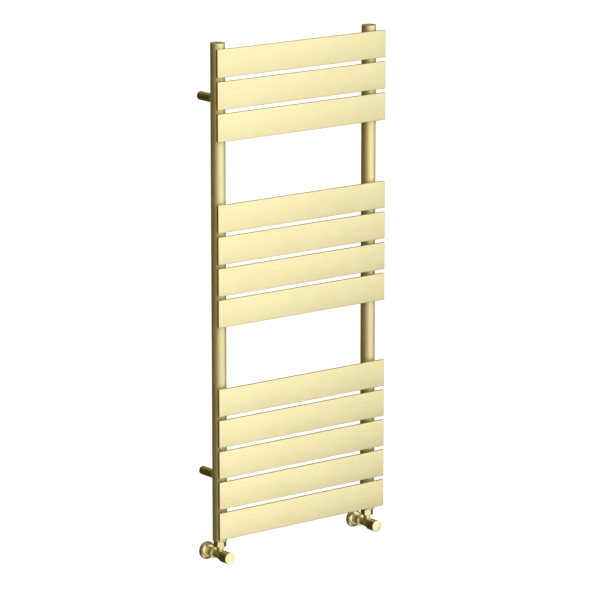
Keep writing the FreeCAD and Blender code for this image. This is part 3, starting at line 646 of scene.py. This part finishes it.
@dataclass
class Valve:
    """One angled valve with its nuts, pipe cover and head, turned about a level axis.

    Distances along the axis are measured from the tube's axis towards the room.
    """

    side: str
    waist_radius: float = 0.009
    waist_front: float = -0.015
    waist_back: float = -0.022
    thread_radius: float = 0.0095
    thread_edge: float = 0.0005
    bore_edge: float = 0.0003
    front_edge: float = 0.0007
    socket_radius: float = 0.0076
    socket_depth: float = 0.012
    seat_radius: float = 0.005
    seat: float = -0.008
    chamber_radius: float = 0.0068
    headwork_radius: float = 0.009
    headwork_back: float = 0.0062
    spigot_radius: float = 0.0085
    spigot_thread: float = 0.006
    spigot_neck: float = 0.002      # straight, below the thread
    spigot_dip: float = 0.0008      # of the foot under the body's surface
    union_thread: float = 0.01045
    blend: float = 0.0013           # of the fillet between body and spigot
    nut_flats: float = 0.027
    nut_chamfer: float = 0.0012
    nut_corner_share: float = 0.988    # of a corner's reach that the bevel leaves
    nut_hole: float = 0.0086
    nut_wide_hole: float = 0.01055
    nut_roof: float = 0.00295
    flange: float = 0.003
    flange_edge: float = 0.0006
    nut_back_edge: float = 0.0008
    pipe_bore: float = 0.018        # from the flange's front to the start of the pipe's bore
    thread_depth: float = 0.0165    # of the nut's thread
    pipe_radius: float = 0.0076
    cover_wall: float = 0.0015
    cover_bore: float = 0.01155
    cover_collar: float = 0.005
    cover_radius: float = 0.02148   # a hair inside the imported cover's rim
    cover_edge: float = 0.0003
    cover_lip: float = 0.0002
    head_wall: float = 0.0018
    head_front: float = 0.003
    head_edge: float = 0.001
    head_rim: float = 0.0004

    def __post_init__(self) -> None:
        """Reads the valve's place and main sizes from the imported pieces."""
        lo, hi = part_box(f"{self.side}_valve_body")
        tube_lo, tube_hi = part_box(f"{self.side}_collector")
        tube_y = (tube_lo.y + tube_hi.y) / 2
        self.front_radius = (hi.x - lo.x) / 2
        self.front = tube_y - lo.y
        self.inlet_end = tube_y - hi.y
        self.axis = Axis((lo.x + hi.x) / 2, tube_y, lo.z + self.front_radius, Heading.ROOM)
        self.upright = Axis(self.axis.x, self.axis.y, self.axis.z)
        self.spigot_top = hi.z - self.axis.z

    def span(self, node: str) -> tuple[float, float, float]:
        """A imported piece's back and front along the axis, and its radius."""
        lo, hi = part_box(node)
        return self.axis.y - hi.y, self.axis.y - lo.y, (hi.x - lo.x) / 2

    def bell(self, along: np.ndarray) -> np.ndarray:
        """The body's radius along its axis: the waist, then an arc that flares to the front."""
        flare, length = self.front_radius - self.waist_radius, self.front - self.waist_front
        radius = (flare**2 + length**2) / (2 * flare)
        ahead = np.clip(along - self.waist_front, 0, length)
        return self.waist_radius + radius - np.sqrt(radius**2 - ahead**2)

    def body(self) -> None:
        """The turned body with its bores, and the spigot that grows out of it with a fillet."""
        along = np.linspace(self.waist_front, self.front, 14)
        flare = [(r, f, 0.0) for r, f in zip(self.bell(along[:-1]), along[:-1])]
        socket_end = self.inlet_end + self.socket_depth
        outline = rounded([
            (self.socket_radius, self.inlet_end, self.bore_edge),
            (self.thread_radius, self.inlet_end, self.thread_edge),
            (self.thread_radius, self.waist_back, 0), (self.waist_radius, self.waist_back, 0),
            *flare, (self.front_radius, self.front, self.front_edge),
            (self.headwork_radius, self.front, self.bore_edge),
            (self.headwork_radius, self.headwork_back, 0), (self.chamber_radius, self.headwork_back, 0),
            (self.chamber_radius, self.seat, 0), (self.seat_radius, self.seat, 0),
            (self.seat_radius, socket_end, 0), (self.socket_radius, socket_end, 0)], loop=True)
        fit(skin(f"{self.side}_valve_body_skin", [turned(outline, self.axis)], loop=True),
            Finishes.VALVE, "rail", "brushed_gold_brass", f"{self.side}_valve_body")
        fit(skin(f"{self.side}_spigot_skin", [self.spigot()]), Finishes.SPIGOT, "rail",
            "brushed_gold_brass")

    def spigot(self) -> np.ndarray:
        """The upright spigot: a turned top, then a fillet that runs out on the body.

        Round the foot, the reach grows by blend * (1 - cos(t)) while the height above the
        body's own surface falls by blend * sin(t).  The foot then dips just under that surface
        and closes at its axis.
        """
        angles = round_angles()
        thread_start = self.spigot_top - self.spigot_thread
        top = rounded([(0, self.spigot_top, 0), (self.union_thread, self.spigot_top, self.thread_edge),
                       (self.union_thread, thread_start, self.bore_edge),
                       (self.spigot_radius, thread_start, self.cover_lip),
                       (self.spigot_radius, thread_start - self.spigot_neck, 0)])
        quarter = np.linspace(0, math.pi / 2, 9)
        reach = np.concatenate([self.spigot_radius + self.blend * (1 - np.cos(quarter)),
                                [self.spigot_radius + self.blend, 0.0]])[:, None]
        above = np.concatenate([self.blend * (1 - np.sin(quarter)), [-self.spigot_dip] * 2])[:, None]
        x, y = reach * np.cos(angles), reach * np.sin(angles)
        surface = np.sqrt(self.bell(-y) ** 2 - x**2)
        foot = self.upright.place(np.stack([x, y, surface + above], axis=-1))
        return np.concatenate([turned(top, self.upright), foot])

    def union_nut(self) -> None:
        """The hexagonal union nut: at each angle and height, the lesser of hexagon and bevel cone."""
        lo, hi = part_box(f"{self.side}_union_nut")
        base = Axis(self.axis.x, self.axis.y, lo.z)
        height, corner = hi.z - lo.z, self.nut_flats / math.sqrt(3)
        rise = np.linspace(0, self.nut_chamfer, 9)
        heights = np.concatenate([rise, [height / 2], height - rise[::-1]])
        share = np.clip(np.minimum(heights, height - heights) / self.nut_chamfer, 0, 1)
        cone = self.nut_flats / 2 + share * (corner * self.nut_corner_share - self.nut_flats / 2)
        angles = round_angles(NUT_SEGMENTS)
        outside = np.minimum(hexagon(self.nut_flats, angles), cone[:, None])
        bore = np.array([(self.nut_hole, height), (self.nut_hole, height - self.nut_roof),
                         (self.nut_wide_hole, height - self.nut_roof), (self.nut_wide_hole, 0)])
        radii = np.concatenate([outside, np.repeat(bore[:, :1], len(angles), axis=1)])
        outline = np.column_stack([radii[:, 0], np.concatenate([heights, bore[:, 1]])])
        fit(skin(f"{self.side}_union_nut_skin", [turned(outline, base, radii)], loop=True, crease=18.0),
            Finishes.SPIGOT, "rail", "brushed_gold_brass", f"{self.side}_union_nut")

    def inlet(self) -> None:
        """The compression nut on the water pipe and the domed cover that slides on it."""
        back, front, radius = self.span(f"{self.side}_compression_nut")
        barrel, thread = self.cover_bore - SLIP, self.thread_radius + SLIP
        outline = rounded([
            (thread, front, self.bore_edge), (radius, front, self.flange_edge),
            (radius, front - self.flange, self.flange_edge), (barrel, front - self.flange, self.bore_edge),
            (barrel, back, self.nut_back_edge), (self.pipe_radius, back, self.head_rim),
            (self.pipe_radius, front - self.pipe_bore, 0), (thread, front - self.thread_depth, 0)], loop=True)
        fit(skin(f"{self.side}_compression_nut_skin", [turned(outline, self.axis)], loop=True),
            Finishes.VALVE, "rail", "brushed_gold_brass", f"{self.side}_compression_nut")
        back, front, _ = self.span(f"{self.side}_pipe_cover")
        radius, lip, depth = self.cover_radius, self.cover_bore + self.cover_wall, front - back
        inner, inner_depth = radius - self.cover_wall, depth - self.cover_wall
        outer_bow = ((radius - lip) ** 2 + depth**2) / (2 * depth) + self.cover_wall
        inner_bow = ((inner - lip) ** 2 + inner_depth**2) / (2 * inner_depth) + self.cover_wall
        outline = rounded([
            (self.cover_bore, front, self.cover_lip), *bow((lip, front), (radius, back), outer_bow, 20),
            *bow((inner, back), (lip, front - self.cover_wall), -inner_bow, 16),
            (lip, front - self.cover_collar, self.cover_edge),
            (self.cover_bore, front - self.cover_collar, self.cover_edge)], loop=True)
        fit(skin(f"{self.side}_pipe_cover_skin", [turned(outline, self.axis)], loop=True),
            Finishes.VALVE, f"{self.side}_cover", "brushed_gold_brass", f"{self.side}_pipe_cover")

    def cap(self) -> None:
        """The round lockshield cap: a cup that is open towards the valve, with a softened front edge."""
        node = f"{self.side}_lockshield_cap"
        back, front, radius = self.span(node)
        inner = radius - self.head_wall
        floor = front - self.head_front
        outline = rounded([(0, floor, 0), (inner, floor, self.head_edge), (inner, back, self.cover_lip),
                           (radius, back, self.head_rim), (radius, front, self.head_edge), (0, front, 0)])
        fit(skin(f"{node}_skin", [turned(outline, self.axis)]), Finishes.HEAD, f"{self.side}_cap",
            "brushed_gold_brass", node)

    def build(self) -> None:
        """Makes and dresses the valve's pieces."""
        self.body()
        self.union_nut()
        self.inlet()
        if self.side == "left":
            dress_packed(["left_handle"], Finishes.HEAD)
            dress_packed(["left_handle_screw"], Finishes.PLAIN)
        else:
            self.cap()
        level = ("headwork", "spindle", "obturator", "olive")
        dress_packed([f"{self.side}_{name}" for name in level], Finishes.RAW_LEVEL)
        dress_packed([f"{self.side}_union_tail"], Finishes.RAW_UPRIGHT)
        rubber = ("union_seal", "spindle_seal", "obturator_washer")
        dress_packed([f"{self.side}_{name}" for name in rubber], Finishes.SEAL)


# ---------------------------------------------------------------- studio

@dataclass(frozen=True)
class Glow:
    """A soft patch of light far off: full within its inner angle, gone past its outer one."""

    azimuth: float                  # degrees from the front, towards the right
    elevation: float
    inner: float
    outer: float
    colour: Colour

    def direction(self) -> tuple[float, float, float]:
        """Where the patch is, as a unit vector."""
        a, e = math.radians(self.azimuth), math.radians(self.elevation)
        return (math.sin(a) * math.cos(e), -math.cos(a) * math.cos(e), math.sin(e))


@dataclass
class Studio:
    """The pale floor, the soft light all round and the camera."""

    floor_drop: float = 0.28        # below the lowest piece
    floor_radius: float = 60.0
    floor_tones: tuple[float, float] = (0.93, 0.95)
    floor_cloud: float = 0.8        # per metre
    floor_roughness: float = 0.9
    floor_glow: float = 0.68
    camera_place: tuple[float, float, float] = (-5.356, -6.997, 1.947)
    camera_yaw: float = 37.791      # degrees to the right of straight at the wall
    camera_pitch: float = 12.884    # degrees down
    camera_lens: float = 225.45
    surround: Colour = (0.045, 0.032, 0.010)
    glows: tuple[Glow, ...] = (
        Glow(16, 14, 36, 64, (1.14, 1.13, 1.12)),
        Glow(-28, 5, 8, 42, (0.42, 0.41, 0.38)),
        Glow(-75, 15, 5, 50, (0.20, 0.16, 0.07)),
        Glow(150, 10, 10, 60, (0.22, 0.21, 0.12)),
        Glow(0, 80, 10, 50, (0.40, 0.39, 0.32)),
        Glow(-60, -68, 5, 34, (0.85, 0.84, 0.74)),
    )

    def floor(self) -> None:
        """A wide pale disc, its points on circles round the origin."""
        lo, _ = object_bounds()
        outline = np.array([(0.0, lo.z - self.floor_drop), (self.floor_radius, lo.z - self.floor_drop)])
        disc = skin("floor", [turned(outline, Axis(0, 0, 0))])
        shader = Shader("pale_floor")
        tone = shader.spread(shader.noise(shader.place(), self.floor_cloud), *self.floor_tones)
        tint = shader.add("CombineColor", {0: tone, 1: tone, 2: tone})
        surface = shader.add("BsdfPrincipled", {
            "Base Color": tint.outputs[0], "Roughness": self.floor_roughness,
            "Emission Color": (1, 1, 1, 1), "Emission Strength": self.floor_glow})
        shader.add("OutputMaterial", {"Surface": surface.outputs[0]})
        disc.data.materials.append(shader.material)
        disc.visible_glossy = False
        disc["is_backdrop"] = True

    def light(self) -> None:
        """The light all round: a dim surround plus each glow.

        A glow's share is a smooth step of the cosine between the ray and its direction, from
        the cosine of the outer angle to that of the inner one.
        """
        world = bpy.data.worlds.new("studio_light")
        world.use_nodes = True
        bpy.context.scene.world = world
        tree = world.node_tree
        tree.nodes.clear()
        ray = tree.nodes.new("ShaderNodeTexCoord").outputs["Generated"]
        total = None
        for glow in self.glows:
            dot = tree.nodes.new("ShaderNodeVectorMath")
            dot.operation = "DOT_PRODUCT"
            tree.links.new(ray, dot.inputs[0])
            dot.inputs[1].default_value = glow.direction()
            step = tree.nodes.new("ShaderNodeMapRange")
            step.interpolation_type = "SMOOTHSTEP"
            tree.links.new(dot.outputs["Value"], step.inputs["Value"])
            step.inputs["From Min"].default_value = math.cos(math.radians(glow.outer))
            step.inputs["From Max"].default_value = math.cos(math.radians(glow.inner))
            patch = tree.nodes.new("ShaderNodeVectorMath")
            patch.operation = "SCALE"
            patch.inputs[0].default_value = glow.colour
            tree.links.new(step.outputs["Result"], patch.inputs["Scale"])
            add = tree.nodes.new("ShaderNodeVectorMath")
            add.inputs[1].default_value = self.surround
            tree.links.new(patch.outputs[0], add.inputs[0])
            if total is not None:
                tree.links.new(total, add.inputs[1])
            total = add.outputs[0]
        back = tree.nodes.new("ShaderNodeBackground")
        tree.links.new(total, back.inputs["Color"])
        out = tree.nodes.new("ShaderNodeOutputWorld")
        tree.links.new(back.outputs[0], out.inputs["Surface"])

    def camera(self) -> None:
        """A long lens from the front left, above the rail's middle."""
        camera = bpy.data.objects.new("camera", bpy.data.cameras.new("camera"))
        camera.data.lens = self.camera_lens
        camera.data.clip_end = 2 * self.floor_radius
        camera.location = self.camera_place
        camera.rotation_euler = (math.radians(90 - self.camera_pitch), 0, -math.radians(self.camera_yaw))
        bpy.context.scene.collection.objects.link(camera)
        bpy.context.scene.camera = camera

    def build(self) -> None:
        """Sets up floor, light, camera and plain tones."""
        self.floor()
        self.light()
        self.camera()
        bpy.context.scene.view_settings.view_transform = "Standard"


def main() -> None:
    """Builds and dresses the rail, sub-assembly by sub-assembly, and then the studio."""
    logging.basicConfig(level=logging.INFO, format="%(message)s")
    bars = Bars()
    for part in (bars, Collectors(bars=bars), Brackets(), Valve("left"), Valve("right"), Studio()):
        LOG.info("--- %s", type(part).__name__)
        part.build()


if __name__ == "__main__":
    main()
